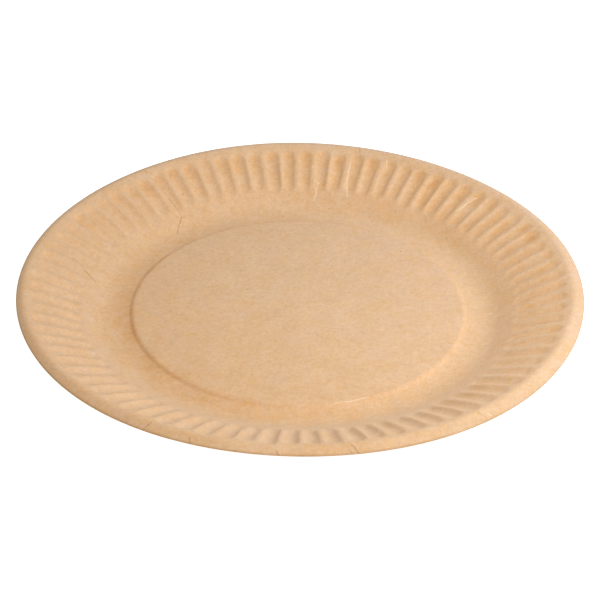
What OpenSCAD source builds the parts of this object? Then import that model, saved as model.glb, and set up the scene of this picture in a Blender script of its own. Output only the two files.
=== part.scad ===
// Pressed paperboard plate: a raised middle in a shallow channel, a sloping wall with pressed flutes,
// a rounded lip and a hem creased downward.
// Millimetres, +Z up. The origin is the middle of the plane that the plate rests on.

/* [Plate] */
// Diameter over the cut edge
plate_diameter = 230; // [180:1:300]
// Width of the rim, from the step of the raised middle to the cut edge
rim_width = 46; // [42:0.5:52]
// Thickness of the paperboard
paper = 0.5; // [0.4:0.05:0.7]

/* [Raised middle] */
// Height of the raised middle over the channel around it
middle_rise = 1.5; // [1:0.1:2]
// Slope of the step between them
step_angle = 45; // [35:1:50]
// Width of the channel's flat floor, which the plate rests on
channel_width = 3; // [2:0.1:4]

/* [Wall] */
// Slope of the fluted wall
wall_angle = 27; // [24:0.5:29]
// Slope of the wall's foot, which is a little steeper
foot_angle = 32; // [30:0.5:34]
// Radius of the bend between the channel and the foot
bend_radius = 18; // [14:0.5:20]
// Radius of the shoulder between the foot and the fluted wall
shoulder_radius = 40; // [20:1:45]

/* [Flutes] */
// Number of flutes pressed into the wall
flute_count = 84; // [60:2:88]
// Depth of a flute
flute_depth = 1.2; // [0.9:0.05:1.3]
// Width of the ridge left between two flutes
ridge_width = 1.3; // [1.2:0.1:2]
// Plain wall between the flutes and the lip
flute_margin = 2.6; // [2:0.1:4]
// Plain wall between the flutes and the shoulder
foot_margin = 1.2; // [0.8:0.1:3]

/* [Lip and hem] */
// Radius of the rounded lip
lip_radius = 2.8; // [2.4:0.1:3.6]
// Slope of the lip where the hem is creased
lip_fall = 20; // [10:1:30]
// Slope of the hem
hem_angle = 52; // [45:1:65]
// Length of the hem down its slope
hem_length = 3.4; // [2.5:0.1:5]

/* [Hidden] */
kraft = [0.86, 0.72, 0.56];
$fa = 4;
$fs = 0.8;
// Straight steps that one bend of the section is drawn with
bend_steps = 4;
// Height that a press tool stands over the paper's upper face
tool_clearance = 0.25;

outer_radius = plate_diameter / 2;
half_paper = paper / 2;

// The section is laid out along the middle of the paper, from the axis to the cut edge.
step_radius = middle_rise / (2 * (1 - cos(step_angle)));
step_run = step_radius * sin(step_angle);
step_place = outer_radius - rim_width;
middle_end = step_place - step_run;
middle_level = half_paper + middle_rise;
channel_start = step_place + step_run;
channel_end = channel_start + channel_width;
hem_start = outer_radius - hem_length * cos(hem_angle) - half_paper * sin(hem_angle);
crest_place = hem_start - lip_radius * sin(lip_fall);
shoulder_place = channel_end + (bend_radius + shoulder_radius) * sin(foot_angle);
shoulder_drop = shoulder_radius - (bend_radius + shoulder_radius) * (1 - cos(foot_angle));
wall_start = shoulder_place - shoulder_radius * sin(wall_angle);
wall_end = crest_place - lip_radius * sin(wall_angle);
wall_foot = half_paper - shoulder_drop + shoulder_radius * cos(wall_angle);
wall_top = wall_foot + (wall_end - wall_start) * tan(wall_angle);
crest_level = wall_top + lip_radius * (1 - cos(wall_angle));
crease = [hem_start, crest_level - lip_radius * (1 - cos(lip_fall))];

// A flute's line runs up the wall, and places on it are measured outward from the wall's upper end.
pitch_angle = 360 / flute_count;
wall_length = (wall_end - wall_start) / cos(wall_angle);
flute_top = -flute_margin;
flute_foot = foot_margin - wall_length;
flute_length = flute_top - flute_foot;
top_half = half_width(flute_top);
foot_half = half_width(flute_foot);
top_radius = press_radius(top_half);
foot_radius = press_radius(foot_half);
top_centre = [flute_top - top_half, half_paper + top_radius - flute_depth];
foot_centre = [flute_foot + foot_half, half_paper + foot_radius - flute_depth];
press_length = norm(top_centre - foot_centre);
press_tilt = atan2(top_centre[1] - foot_centre[1], top_centre[0] - foot_centre[0]);

// Half of a flute's width at a place on its line, which leaves the ridge between two of them
function half_width(place) =
    (wall_end + place * cos(wall_angle)) * tan(pitch_angle / 2) - ridge_width / 2;

// Radius of the round tool that presses a flute of that half width to the full depth
function press_radius(half) = (half * half + flute_depth * flute_depth) / (2 * flute_depth);

// Points of a bend, without its last point where another curve or a crease takes over
function bend(centre, radius, from, to, last = bend_steps) = [
    for (i = [0 : last])
        let (a = from + (to - from) * i / bend_steps)
        centre + radius * [cos(a), sin(a)]
];

// Direction square to a slope that falls outward
function square_to(fall) = [sin(fall), cos(fall)];

// One face of the paper at a distance from its middle, upward or, when negative, downward
function face(offset) = concat(
    [[0, middle_level + offset]],
    bend([middle_end, middle_level - step_radius], step_radius + offset, 90, 90 - step_angle),
    bend([channel_start, half_paper + step_radius], step_radius - offset, 270 - step_angle, 270),
    bend([channel_end, half_paper + bend_radius], bend_radius - offset, 270, 270 + foot_angle),
    bend([shoulder_place, half_paper - shoulder_drop], shoulder_radius + offset,
         90 + foot_angle, 90 + wall_angle),
    bend([crest_place, crest_level - lip_radius], lip_radius + offset,
         90 + wall_angle, 90 - lip_fall, bend_steps - 1),
    [crease + offset * square_to((lip_fall + hem_angle) / 2) / cos((hem_angle - lip_fall) / 2)],
    [crease + hem_length * [cos(hem_angle), -sin(hem_angle)] + offset * square_to(hem_angle)]
);

function reversed(list) = [for (i = [len(list) - 1 : -1 : 0]) list[i]];

// The plain sheet of paper, before the flutes are pressed
module sheet() {
    rotate_extrude()
        polygon(concat(face(-half_paper), reversed(face(half_paper))));
}

// The press tool of one flute: a tapered bar with round ends, larger by a growth all round
module press_tool(growth) {
    translate([foot_centre[0], 0, foot_centre[1]])
        rotate([0, 90 - press_tilt, 0])
            rotate(180) {
                sphere(foot_radius + growth);
                cylinder(h = press_length, r1 = foot_radius + growth, r2 = top_radius + growth);
                translate([0, 0, press_length])
                    sphere(top_radius + growth);
            }
}

// The press tool in its place on the wall, cut off at a level over the paper's middle
module pressed(growth, level) {
    reach = flute_length + 2 * top_radius;
    breadth = 2 * top_radius;
    translate([wall_end, 0, wall_top])
        rotate([0, -wall_angle, 0])
            intersection() {
                press_tool(growth);
                translate([flute_foot - top_radius, -breadth / 2, level - breadth])
                    cube([reach, breadth, breadth]);
            }
}

module around() {
    for (i = [0 : flute_count - 1])
        rotate(i * pitch_angle)
            children();
}

module plate() {
    color(kraft)
        difference() {
            union() {
                sheet();
                around()
                    pressed(paper, 0);
            }
            around()
                pressed(0, half_paper + tool_clearance);
        }
}

plate();
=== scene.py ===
import math
import random

import bmesh
import bpy
from mathutils import Matrix, Vector


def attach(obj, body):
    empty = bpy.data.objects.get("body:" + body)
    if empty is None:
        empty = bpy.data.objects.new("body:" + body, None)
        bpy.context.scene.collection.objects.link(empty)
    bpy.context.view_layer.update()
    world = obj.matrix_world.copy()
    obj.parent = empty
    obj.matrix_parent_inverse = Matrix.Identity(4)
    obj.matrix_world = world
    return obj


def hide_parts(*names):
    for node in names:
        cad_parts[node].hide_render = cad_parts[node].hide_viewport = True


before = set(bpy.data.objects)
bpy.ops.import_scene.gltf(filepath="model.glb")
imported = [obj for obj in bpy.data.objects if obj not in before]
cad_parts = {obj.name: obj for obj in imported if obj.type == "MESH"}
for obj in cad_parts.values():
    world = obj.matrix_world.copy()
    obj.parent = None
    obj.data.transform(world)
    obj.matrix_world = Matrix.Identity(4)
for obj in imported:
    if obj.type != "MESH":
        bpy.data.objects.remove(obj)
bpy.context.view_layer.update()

# The plate itself: one round sheet of brown kraft paperboard, pressed hot between two dies.
# The press raises the middle, bends the wall up around it and rolls the lip, and the edge is then
# creased downward as a hem and cut round. The section runs along the middle of the board.
mm = 0.001
paper = 0.5 * mm
half_paper = paper / 2
middle_edge = 67.2 * mm
middle_rise = 1.5 * mm
step_angle = math.radians(40)
channel_angle = math.radians(10)
channel_radius = 26 * mm
wall_angle = math.radians(27)
foot_angle = math.radians(33)
bend_radius = 17 * mm
shoulder_radius = 40 * mm
lip_radius = 2.8 * mm
lip_fall = math.radians(20)
hem_start = 112.7 * mm
hem_angle = math.radians(24)
hem_length = 2.72 * mm

middle_level = half_paper + middle_rise
step_drop = middle_rise - channel_radius * (1 - math.cos(channel_angle))
step_radius = step_drop / (1 + math.cos(channel_angle) - 2 * math.cos(step_angle))
step_foot = middle_edge + 2 * step_radius * math.sin(step_angle)
step_foot_level = middle_level + step_radius * (2 * math.cos(step_angle) - 1)
channel_end = step_foot + (channel_radius - step_radius) * math.sin(channel_angle)
crest_place = hem_start - lip_radius * math.sin(lip_fall)
shoulder_place = channel_end + (bend_radius + shoulder_radius) * math.sin(foot_angle)
shoulder_level = half_paper + bend_radius - (bend_radius + shoulder_radius) * math.cos(foot_angle)
wall_start = shoulder_place - shoulder_radius * math.sin(wall_angle)
wall_end = crest_place - lip_radius * math.sin(wall_angle)
wall_foot = shoulder_level + shoulder_radius * math.cos(wall_angle)
wall_top = wall_foot + (wall_end - wall_start) * math.tan(wall_angle)
crest_level = wall_top + lip_radius * (1 - math.cos(wall_angle))


def bend(centre, radius, start, end, steps):
    """Points of one bend of the section, as radius and height, without the first."""
    turn = (end - start) / steps
    angles = [start + turn * (i + 1) for i in range(steps)]
    return [(centre[0] + radius * math.cos(a), centre[1] + radius * math.sin(a)) for a in angles]


def straight(start, end, steps):
    """Points of one straight stretch of the section, without the first."""
    shares = [(i + 1) / steps for i in range(steps)]
    return [(start[0] + (end[0] - start[0]) * s, start[1] + (end[1] - start[1]) * s) for s in shares]


def on_wall(place):
    """Point of the section on the wall, at a distance outward from the wall's upper end."""
    return wall_end + place * math.cos(wall_angle), wall_top + place * math.sin(wall_angle)


up = math.pi / 2
down = 3 * math.pi / 2
wall_length = (wall_end - wall_start) / math.cos(wall_angle)
flute_end = 6.5 * mm
section = [(0, middle_level)]
section += straight(section[-1], (middle_edge, middle_level), steps=3)
section += bend((middle_edge, middle_level - step_radius), step_radius, up, up - step_angle, steps=5)
section += bend((step_foot, step_foot_level), step_radius, down - step_angle, down - channel_angle, steps=4)
section += bend(
    (channel_end, half_paper + channel_radius), channel_radius, down - channel_angle, down, steps=4,
)
section += bend((channel_end, half_paper + bend_radius), bend_radius, down, down + foot_angle, steps=6)
section += bend((shoulder_place, shoulder_level), shoulder_radius, up + foot_angle, up + wall_angle, steps=2)
section += straight(section[-1], on_wall(flute_end - wall_length), steps=6)
section += straight(section[-1], on_wall(-flute_end), steps=6)
section += straight(section[-1], on_wall(0), steps=6)
section += bend((crest_place, crest_level - lip_radius), lip_radius, up + wall_angle, up - lip_fall, steps=4)
crease_level = section[-1][1]
hem_end = (hem_start + hem_length * math.cos(hem_angle), crease_level - hem_length * math.sin(hem_angle))
section += straight(section[-1], hem_end, steps=3)

# Flutes of the wall: round-ended hollows that the press folds into the board, with narrow ridges
# between them. No two are quite alike, because the board gathers a little unevenly.
flute_count = 84
columns_per_flute = 12
flute_depth = 1.2 * mm
ridge_width = 1.3 * mm
flute_margin = 2.6 * mm
foot_margin = 1.2 * mm
ridge_rounding = 0.14 * mm
column_gathering = 0.45
pitch_angle = 2 * math.pi / flute_count
flute_strength = [(0, 0.85, 0), (1, 0.2, 190), (2, 0.1, 90)]
flute_reach = [(0, 0.9 * mm, 0), (1, 0.9 * mm, 270)]
foot_fading = 7 * mm
foot_strength = 0.4
depth_spread = (-0.14 * mm, 0.1 * mm)
aside_spread = 0.16 * mm
higher_spread = 0.4 * mm
lower_spread = 0.6 * mm
sway_spread = 0.12 * mm
press = random.Random(7)


def around_plate(waves, turn):
    """Sum of waves around the plate, each with its count, its height and the angle of its top."""
    return sum(height * math.cos(count * (turn - math.radians(top))) for count, height, top in waves)


flutes = [
    {
        "deeper": press.uniform(*depth_spread),
        "aside": press.gauss(0, aside_spread),
        "higher": press.gauss(0, higher_spread) + around_plate(flute_reach, number * pitch_angle),
        "lower": press.gauss(0, lower_spread),
        "sway": press.gauss(0, sway_spread),
    }
    for number in range(flute_count)
]


def flute_half_width(place):
    """Half the width of a flute at a place on the wall, which leaves the ridge between two of them."""
    return on_wall(place)[0] * math.tan(pitch_angle / 2) - ridge_width / 2


def press_radius(half):
    """Radius of the round tool that presses a flute of that half width to the full depth."""
    return (half * half + flute_depth * flute_depth) / (2 * flute_depth)


def pressed_depth(place, aside, flute):
    """How far the board is pushed down at a place on the wall, beside the middle of one flute."""
    top_half = flute_half_width(-flute_margin)
    foot_half = flute_half_width(foot_margin - wall_length)
    top_centre = flute["higher"] - flute_margin - top_half
    foot_centre = flute["lower"] + foot_margin - wall_length + foot_half
    share = min(max((place - foot_centre) / (top_centre - foot_centre), 0), 1)
    radius = press_radius(foot_half) * (1 - share) + press_radius(top_half) * share + half_paper
    past_end = place - (foot_centre * (1 - share) + top_centre * share)
    across = aside - flute["aside"] - flute["sway"] * math.sin(2 * math.pi * share)
    room = radius**2 - across**2 - past_end**2
    if room <= 0:
        return 0
    bite = math.sqrt(room) - radius + flute_depth + flute["deeper"]
    if abs(bite) < ridge_rounding:
        return (bite + ridge_rounding) ** 2 / (4 * ridge_rounding)
    return max(bite, 0)


merge_distance = 0.002 * mm
mesh = bpy.data.meshes.new("paper_plate")
bm = bmesh.new()
line = [bm.verts.new((radius, 0, height)) for radius, height in section]
edges = [bm.edges.new(pair) for pair in zip(line, line[1:])]
bmesh.ops.spin(
    bm, geom=line + edges, cent=(0, 0, 0), axis=(0, 0, 1), angle=2 * math.pi,
    steps=flute_count * columns_per_flute, use_merge=True,
)
bmesh.ops.remove_doubles(bm, verts=bm.verts, dist=merge_distance)
bmesh.ops.recalc_face_normals(bm, faces=bm.faces)

# Set of the board after the press: the wall bulges a little along the flutes, the lip has sunk
# unevenly, and the cut edge runs off the middle of the dies, so that the hem is longest at the near
# right. The tint of each zone is painted light and shade, in waves round the plate that follow how the
# light falls: warmer and darker as painted shade, greyer and paler as painted sheen.
wall_bulge = 0.6 * mm
bulge_skew = 0.4
lip_sinking = [
    (0, -0.44 * mm, 0), (1, 0.22 * mm, 4), (2, 0.13 * mm, 85), (3, 0.3 * mm, 99), (4, 0.19 * mm, 2),
]
crease_width = 0.1 * mm
flute_drift = [(1, math.radians(-0.53), 0), (2, math.radians(0.15), 45)]
hem_runout = [(1, 0.97 * mm, 318), (2, 0.45 * mm, 94), (3, 0.55 * mm, 91), (4, 0.18 * mm, 37)]
# Tint waves, as count, height and angle of the top: above zero a painted shade, below zero a painted sheen.
middle_tint = [(1, 0.4, 230)]
step_painted_shade = [(0, 0.4, 0), (1, 0.4, 100)]
channel_tint = [(0, 0.35, 0), (1, 0.4, 215)]
cavetto_tint = [(0, 0.1, 0), (1, 0.4, 55)]
flute_tint = [(0, 0.3, 0), (1, 0.5, 45)]
flute_top_tint = [(0, 0.5, 0), (1, 0.5, 90)]
# The lip and hem are greyer on the whole as painted sheen, and warmer towards the near left as painted shade.
lip_tint = [(0, -0.15, 0), (1, 0.6, 240)]
hem_tint = [(0, -0.2, 0), (1, 0.6, 250)]
# The tint layer carries this painted shade and sheen to the material.
tint = bm.verts.layers.float.new("tint")

for vert in bm.verts:
    radius = math.hypot(vert.co.x, vert.co.y)
    turn = math.atan2(vert.co.y, vert.co.x) % (2 * math.pi)
    if radius < middle_edge:
        vert[tint] = around_plate(middle_tint, turn) * radius / middle_edge
        continue
    turn += column_gathering * math.sin(turn * flute_count) / flute_count
    height = vert.co.z
    sunk = min(max((radius - channel_end) / (wall_end - channel_end), 0), 1)
    height += sunk * around_plate(lip_sinking, turn)
    channel = around_plate(channel_tint, turn)
    cavetto = around_plate(cavetto_tint, turn)
    if radius > hem_start + crease_width:
        vert[tint] = around_plate(hem_tint, turn)
        runout = around_plate(hem_runout, turn) * (radius - hem_start) / (hem_end[0] - hem_start)
        radius += runout * math.cos(hem_angle)
        height -= runout * math.sin(hem_angle)
    elif radius > wall_end:
        vert[tint] = around_plate(lip_tint, turn)
    elif radius > wall_start:
        number = round(turn / pitch_angle)
        place = (radius - wall_end) / math.cos(wall_angle)
        aside = radius * math.sin(turn - number * pitch_angle)
        depth = pressed_depth(place, aside, flutes[number % flute_count])
        share = min(depth / flute_depth, 1)
        fluted = min(max((place + wall_length) / foot_fading, 0), 1)
        along = 2 * place / wall_length + 1
        # The flute hollows take painted shade as deep as they are pressed, the ridges between them the plain
        # board colour, and the foot of the wall the cavetto's tint.
        hollow = around_plate(flute_tint, turn) + max(along, 0) * around_plate(flute_top_tint, turn)
        vert[tint] = cavetto * (1 - fluted) * (1 - share) + hollow * share
        depth *= around_plate(flute_strength, turn) * (foot_strength + (1 - foot_strength) * fluted)
        depth -= wall_bulge * (1 - along**2) * (1 - bulge_skew * along)
        radius += depth * math.sin(wall_angle)
        height -= depth * math.cos(wall_angle)
    elif radius > channel_end:
        share = (radius - channel_end) / (wall_start - channel_end)
        vert[tint] = channel * (1 - share) + cavetto * share
    else:
        share = min((radius - middle_edge) / (step_foot - middle_edge), 1)
        # A band of painted shade along the step, strongest at its middle.
        painted_shade_on_step = around_plate(step_painted_shade, turn) * math.sin(math.pi * share)
        vert[tint] = around_plate(middle_tint, turn) * (1 - share) + channel * share + painted_shade_on_step
    turn += around_plate(flute_drift, turn)
    vert.co = (radius * math.cos(turn), radius * math.sin(turn), height)
for face in bm.faces:
    face.smooth = True
bm.to_mesh(mesh)
bm.free()

plate = bpy.data.objects.new("paper_plate", mesh)
bpy.context.collection.objects.link(plate)
thickness = plate.modifiers.new("board", "SOLIDIFY")
thickness.thickness = paper
thickness.offset = 0
thickness.use_even_offset = True
thickness.use_rim = True


# Finish of the board: unbleached kraft paperboard, calendered smooth. It gives the eye a warm tan
# with a soft cloudiness, short fibres drawn coarse enough to show, a few dark specks and a faint sheen.
def linear(hex_colour):
    """An sRGB hex colour as linear RGBA."""
    parts = [int(hex_colour[i : i + 2], 16) / 255 for i in (1, 3, 5)]
    return [p / 12.92 if p <= 0.04045 else ((p + 0.055) / 1.055) ** 2.4 for p in parts] + [1]


kraft = bpy.data.materials.new("kraft_paperboard")
kraft.use_nodes = True
tree = kraft.node_tree
shader = tree.nodes["Principled BSDF"]


def add(kind, settings=None, links=None):
    """Adds a node, sets its properties and input sockets, and links other nodes' sockets to its inputs."""
    node = tree.nodes.new(kind)
    for name, value in (settings or {}).items():
        if isinstance(name, str) and hasattr(node, name):
            setattr(node, name, value)
        else:
            node.inputs[name].default_value = value
    for name, source in (links or {}).items():
        tree.links.new(source, node.inputs[name])
    return node


where = add("ShaderNodeTexCoord").outputs["Object"]
# The tint from the mesh is painted light and shade: it warms and darkens the board as painted shade and greys
# it as painted sheen, and a noise makes that painted shade patchy.
plate_tint = add("ShaderNodeAttribute", {"attribute_name": "tint"}).outputs["Fac"]
shade_patch_size = 7 * mm
shade_patch_change = 0.7
shade_patches = add("ShaderNodeTexNoise", {"Scale": 1 / shade_patch_size, "Detail": 4.0, "Roughness": 0.6},
             {"Vector": where})
patchy_painted_shade = add("ShaderNodeMapRange", {"From Min": 0.35, "From Max": 0.65, "To Min": 1 - shade_patch_change,
                                     "To Max": 1 + shade_patch_change}, {"Value": shade_patches.outputs[0]})
patchy_painted_shade = add("ShaderNodeMath", {"operation": "MULTIPLY"}, {0: plate_tint, 1: patchy_painted_shade.outputs[0]})
# The ramp runs from a grey painted sheen at the lowest tint, through the board's own tan at zero, to a dark
# warm painted shade at the highest.
greyest, warmest = -1.0, 2.0
tint_share = add("ShaderNodeMapRange", {"From Min": greyest, "From Max": warmest},
                 {"Value": patchy_painted_shade.outputs[0]})
board = add("ShaderNodeValToRGB", links={"Fac": tint_share.outputs[0]})
board.color_ramp.elements[0].color = linear("#dfba9a")
board.color_ramp.elements[1].color = linear("#d6a26e")
board.color_ramp.elements.new(1 / 3).color = linear("#e1ba92")
board.color_ramp.elements.new(2 / 3).color = linear("#e2b382")

cloud_size = 13 * mm
blot_size = 8 * mm
fibre_length = 2.8 * mm
fibre_width = 0.9 * mm
cloud_change = 21.0
fibre_change = 3.1
warm_change = 46.0
paler_step = (0.011, 0.018, 0.034)
warmer_step = (0.004, 0.0, -0.012)
clouds = add("ShaderNodeTexNoise", {"Scale": 1 / cloud_size, "Detail": 6.0, "Roughness": 0.88},
             {"Vector": where})
paler = add("ShaderNodeMapRange", {"clamp": False, "To Min": -cloud_change / 2, "To Max": cloud_change / 2},
            {"Value": clouds.outputs[0]})
for direction in (10, -35, 70):
    turned = add("ShaderNodeMapping", {
        "vector_type": "TEXTURE", "Rotation": (0, 0, math.radians(direction)),
        "Scale": (fibre_length, fibre_width, fibre_length),
    }, {"Vector": where})
    fibres = add("ShaderNodeTexNoise", {"Scale": 1.0, "Detail": 2.0, "Distortion": 0.5},
                 {"Vector": turned.outputs[0]})
    strand = add("ShaderNodeMapRange", {"From Min": 0.25, "From Max": 0.75, "To Min": -fibre_change,
                                        "To Max": fibre_change}, {"Value": fibres.outputs[0]})
    paler = add("ShaderNodeMath", {"operation": "ADD"}, {0: paler.outputs[0], 1: strand.outputs[0]})
change = add("ShaderNodeVectorMath", {"operation": "SCALE", 0: paler_step}, {"Scale": paler.outputs[0]})
blots = add("ShaderNodeTexNoise", {"noise_dimensions": "4D", "W": 3.0, "Scale": 1 / blot_size,
                                   "Detail": 4.0, "Roughness": 1.0}, {"Vector": where})
warmer = add("ShaderNodeMapRange", {"clamp": False, "To Min": -warm_change / 2, "To Max": warm_change / 2},
             {"Value": blots.outputs[0]})
warmth = add("ShaderNodeVectorMath", {"operation": "SCALE", 0: warmer_step}, {"Scale": warmer.outputs[0]})
change = add("ShaderNodeVectorMath", {"operation": "ADD"}, {0: change.outputs[0], 1: warmth.outputs[0]})
change = add("ShaderNodeVectorMath", {"operation": "ADD", 1: (1, 1, 1)}, {0: change.outputs[0]})
mottled = add("ShaderNodeVectorMath", {"operation": "MULTIPLY"}, {0: board.outputs[0], 1: change.outputs[0]})

speck_spacing = 8 * mm
speck_reach = 0.4 * mm / speck_spacing
specks = add("ShaderNodeTexVoronoi", {"Scale": 1 / speck_spacing}, {"Vector": where})
specks = add("ShaderNodeMapRange", {"From Min": speck_reach, "From Max": speck_reach / 2},
             {"Value": specks.outputs["Distance"]})

# Creases and cracks of this plate: the board split or folded where the press drew it in. Each is a
# line of places, as radius in millimetres and angle, that wanders a little. A tear is drawn dark, a
# fold or fleck pale, and one pale line on the near step is a painted highlight of the lamp.
crack_width = 0.6 * mm
pale_mark_width = 0.9 * mm
mark_share = 0.6
wander_size = 4 * mm
wander_reach = 1.2 * mm
cracks = {
    "far left slit": [(113.2, 125.8), (109.4, 126.0)],
    "far left crack": [(101, 124.9), (86, 124.6), (79, 130)],
    "left crease": [(98, 163.5), (86, 168.4)],
    "far right slit": [(113.2, 73), (107, 72.1)],
    "near slit": [(109.3, 275.5), (112.8, 276.1), (115.5, 276.9)],
    "near slit beside it": [(112.3, 277), (115.5, 278)],
    "near right crack": [(112.6, 303.1), (115.5, 303.7)],
    "near left crack": [(111.6, 239.2), (115.5, 238.4)],
    "near left tick": [(113.4, 247.4), (115.5, 247.9)],
    "near hairline": [(109.4, 262.8), (113.3, 263.4), (115.5, 264)],
    "right crease": [(98.5, 342.6), (109, 341.1)],
}
pale_marks_and_highlight = {
    "far right fold": [(105.5, 38.6), (101, 39.6), (94.5, 40)],
    "far fold": [(103, 74.1), (95, 73.9), (86.5, 72.6)],
    "second far fold": [(93, 81.7), (84, 82.6)],
    "short far fold": [(108, 65.3), (104.8, 64.7)],
    "left fleck": [(84, 168.7), (82, 168.9)],
    "near right fleck": [(114.2, 304.5), (115.5, 304.8)],
    # A painted highlight: the lamp's gloss on the near step, drawn as a pale line.
    "painted lamp highlight on the step": [(67.9, 279), (68.1, 285), (67.9, 291)],
}
flat = add("ShaderNodeVectorMath", {"operation": "MULTIPLY", 1: (1, 1, 0)}, {0: where}).outputs[0]
wander = add("ShaderNodeTexNoise", {"Scale": 1 / wander_size, "Detail": 2.0}, {"Vector": flat})
wander = add("ShaderNodeVectorMath", {"operation": "SUBTRACT", 1: (0.5, 0.5, 0.5)},
             {0: wander.outputs["Color"]})
wander = add("ShaderNodeVectorMath", {"operation": "SCALE", "Scale": wander_reach}, {0: wander.outputs[0]})
flat = add("ShaderNodeVectorMath", {"operation": "ADD"}, {0: flat, 1: wander.outputs[0]}).outputs[0]


def marked(lines, width):
    """Mask of the named lines, each drawn from place to place with the same width."""
    mask = None
    for places in lines.values():
        points = [Vector((r * mm * math.cos(math.radians(a)), r * mm * math.sin(math.radians(a)), 0))
                  for r, a in places]
        for start, end in zip(points, points[1:]):
            run = end - start
            away = add("ShaderNodeVectorMath", {"operation": "SUBTRACT", 1: start}, {0: flat}).outputs[0]
            part = add("ShaderNodeVectorMath", {"operation": "DOT_PRODUCT", 1: run / run.length_squared},
                       {0: away})
            part = add("ShaderNodeClamp", links={0: part.outputs["Value"]})
            nearest = add("ShaderNodeVectorMath", {"operation": "SCALE", 0: run}, {"Scale": part.outputs[0]})
            gap = add("ShaderNodeVectorMath", {"operation": "DISTANCE"}, {0: away, 1: nearest.outputs[0]})
            drawn = add("ShaderNodeMapRange", {"interpolation_type": "SMOOTHSTEP", "From Min": width / 2,
                                               "From Max": 0.0}, {"Value": gap.outputs["Value"]}).outputs[0]
            if mask:
                drawn = add("ShaderNodeMath", {"operation": "MAXIMUM"}, {0: mask, 1: drawn}).outputs[0]
            mask = drawn
    return mask


dark = add("ShaderNodeMath", {"operation": "MAXIMUM"}, {0: marked(cracks, crack_width), 1: specks.outputs[0]})
dark_share = add("ShaderNodeMath", {"operation": "MULTIPLY", 1: mark_share}, {0: dark.outputs[0]})
pale_share = add("ShaderNodeMath", {"operation": "MULTIPLY", 1: mark_share}, {0: marked(pale_marks_and_highlight, pale_mark_width)})
colour = add("ShaderNodeMix", {"data_type": "RGBA", 7: linear("#8a5a2e")},
             {0: dark_share.outputs[0], 6: mottled.outputs[0]})
# Pale folds and flecks, and the painted highlight on the step.
colour = add("ShaderNodeMix", {"data_type": "RGBA", 7: linear("#f6e2c6")},
             {0: pale_share.outputs[0], 6: colour.outputs[2]})
tree.links.new(colour.outputs[2], shader.inputs["Base Color"])
shader.inputs["Roughness"].default_value = 0.6
shader.inputs["Specular IOR Level"].default_value = 0.1
shader.inputs["Sheen Weight"].default_value = 0.15
shader.inputs["Sheen Roughness"].default_value = 0.5
mesh.materials.append(kraft)
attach(plate, "root")
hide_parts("plate")

# The floor is a wide sheet of matt white paper that the plate stands on. Its glow is seen by the camera,
# in a gloss and through clear parts alone, so the room and the lamps light the plate and its shadow stays.
floor_reach = 4
floor_glow = 0.9
floor_mesh = bpy.data.meshes.new("floor")
bm = bmesh.new()
bmesh.ops.create_grid(bm, x_segments=1, y_segments=1, size=floor_reach)
bm.to_mesh(floor_mesh)
bm.free()
floor = bpy.data.objects.new("floor", floor_mesh)
bpy.context.collection.objects.link(floor)
white = bpy.data.materials.new("white_sweep")
white.use_nodes = True
tree = white.node_tree
sheet = tree.nodes["Principled BSDF"]
sheet.inputs["Base Color"].default_value = linear("#f4f4f4")
sheet.inputs["Roughness"].default_value = 0.9


def looked_along():
    """Mask of the rays that show the background, to the camera, in a gloss or through a clear part."""
    rays = add("ShaderNodeLightPath").outputs
    mask = rays["Is Camera Ray"]
    for kind in ("Is Glossy Ray", "Is Transmission Ray"):
        mask = add("ShaderNodeMath", {"operation": "MAXIMUM"}, {0: mask, 1: rays[kind]}).outputs[0]
    return mask


glow_strength = add("ShaderNodeMath", {"operation": "MULTIPLY", 1: floor_glow}, {0: looked_along()})
glow = add("ShaderNodeEmission", links={"Strength": glow_strength.outputs[0]})
together = add("ShaderNodeAddShader", links={0: sheet.outputs[0], 1: glow.outputs[0]})
tree.links.new(together.outputs[0], tree.nodes["Material Output"].inputs["Surface"])
floor_mesh.materials.append(white)

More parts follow.
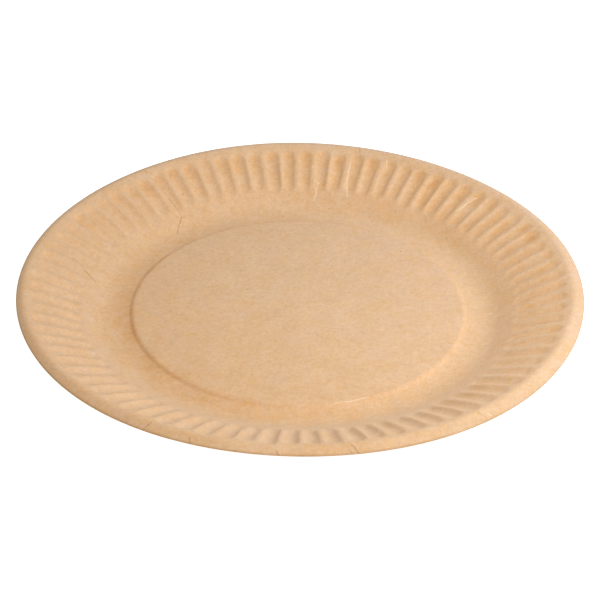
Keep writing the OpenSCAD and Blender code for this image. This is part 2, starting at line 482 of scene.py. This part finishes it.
# Soft studio light: a warm white room all round, a broad cool lamp close over the right, a second
# one further off on the same side, and a weak lamp that fills the shade from the near left.
room_strength = 0.325
world = bpy.data.worlds.new("white_room")
world.use_nodes = True
tree = world.node_tree
room = tree.nodes["Background"]
shown = looked_along()
tone = add("ShaderNodeMix", {"data_type": "RGBA", 6: linear("#fff2da"), 7: linear("#ffffff")}, {0: shown})
strength = add("ShaderNodeMapRange", {"To Min": room_strength, "To Max": 1.0}, {"Value": shown})
tree.links.new(tone.outputs[2], room.inputs["Color"])
tree.links.new(strength.outputs[0], room.inputs["Strength"])
bpy.context.scene.world = world
lamps = {
    "near_lamp": {"place": (0.198, -0.088, 0.353), "size": 0.2, "energy": 1.09, "colour": "#eef6ff"},
    "side_lamp": {"place": (0.73, -0.13, 0.503), "size": 0.3, "energy": 2.22, "colour": "#eef6ff"},
    "fill_lamp": {"place": (-0.17, -0.47, 0.23), "size": 0.3, "energy": 0.38, "colour": "#fff8ee"},
}
for name, lamp in lamps.items():
    light = bpy.data.lights.new(name, "AREA")
    light.shape = "DISK"
    light.size = lamp["size"]
    light.energy = lamp["energy"]
    light.color = linear(lamp["colour"])[:3]
    stand = bpy.data.objects.new(name, light)
    stand.location = lamp["place"]
    stand.rotation_euler = (-stand.location).to_track_quat("-Z", "Y").to_euler()
    bpy.context.collection.objects.link(stand)

# The camera looks down over the near rim through a long lens. It is turned round the plate by a share
# of the flutes' pitch, so that they lie as they do in the photograph.
camera_back = 581.3 * mm
camera_height = 390.3 * mm
camera_aside = 0.7 * mm
camera_pitch = math.radians(33.55)
camera_roll = math.radians(0.5)
pitch_share = -0.68
camera_turn = pitch_share * pitch_angle
camera_data = bpy.data.cameras.new("camera")
camera_data.sensor_width = 36
camera_data.lens = 101.5
camera = bpy.data.objects.new("camera", camera_data)
spot = Matrix.Translation((camera_aside, -camera_back, camera_height))
tilt = Matrix.Rotation(math.pi / 2 - camera_pitch, 4, "X") @ Matrix.Rotation(camera_roll, 4, "Z")
camera.matrix_world = Matrix.Rotation(camera_turn, 4, "Z") @ spot @ tilt
bpy.context.collection.objects.link(camera)
bpy.context.scene.camera = camera
bpy.context.scene.view_settings.view_transform = "Standard"
